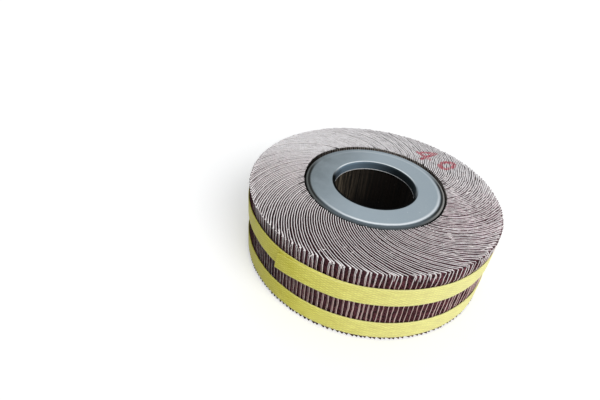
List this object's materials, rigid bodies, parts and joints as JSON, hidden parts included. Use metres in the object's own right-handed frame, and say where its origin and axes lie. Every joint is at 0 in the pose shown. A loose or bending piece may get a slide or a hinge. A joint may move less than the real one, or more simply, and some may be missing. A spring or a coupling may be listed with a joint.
{
  "type": "flap wheel",
  "caption": "Abrasive flap wheel: a thick ring of curved cloth flaps round an open bore, with a pressed steel flange in each face and two plastic straps round the rim.",
  "frame": {"origin": "middle of the bore's axis, half way between the two faces", "axes": "+Z along the bore, out of the face that the upper strap's tail is nearer to; seen from +Z the flaps sweep anticlockwise on their way out"},
  "size_m": [0.1662, 0.1662, 0.05],
  "materials": {
    "abrasive_cloth": "maroon abrasive grain on cream cloth, cut edges showing",
    "flange_steel": "satin zinc plate",
    "strap_plastic": "yellow embossed polypropylene"
  },
  "bodies": {
    "root": {"flap_pack": "abrasive_cloth", "upper_flange": "flange_steel", "lower_flange": "flange_steel", "upper_strap": "strap_plastic", "lower_strap": "strap_plastic"}
  },
  "joints": []
}
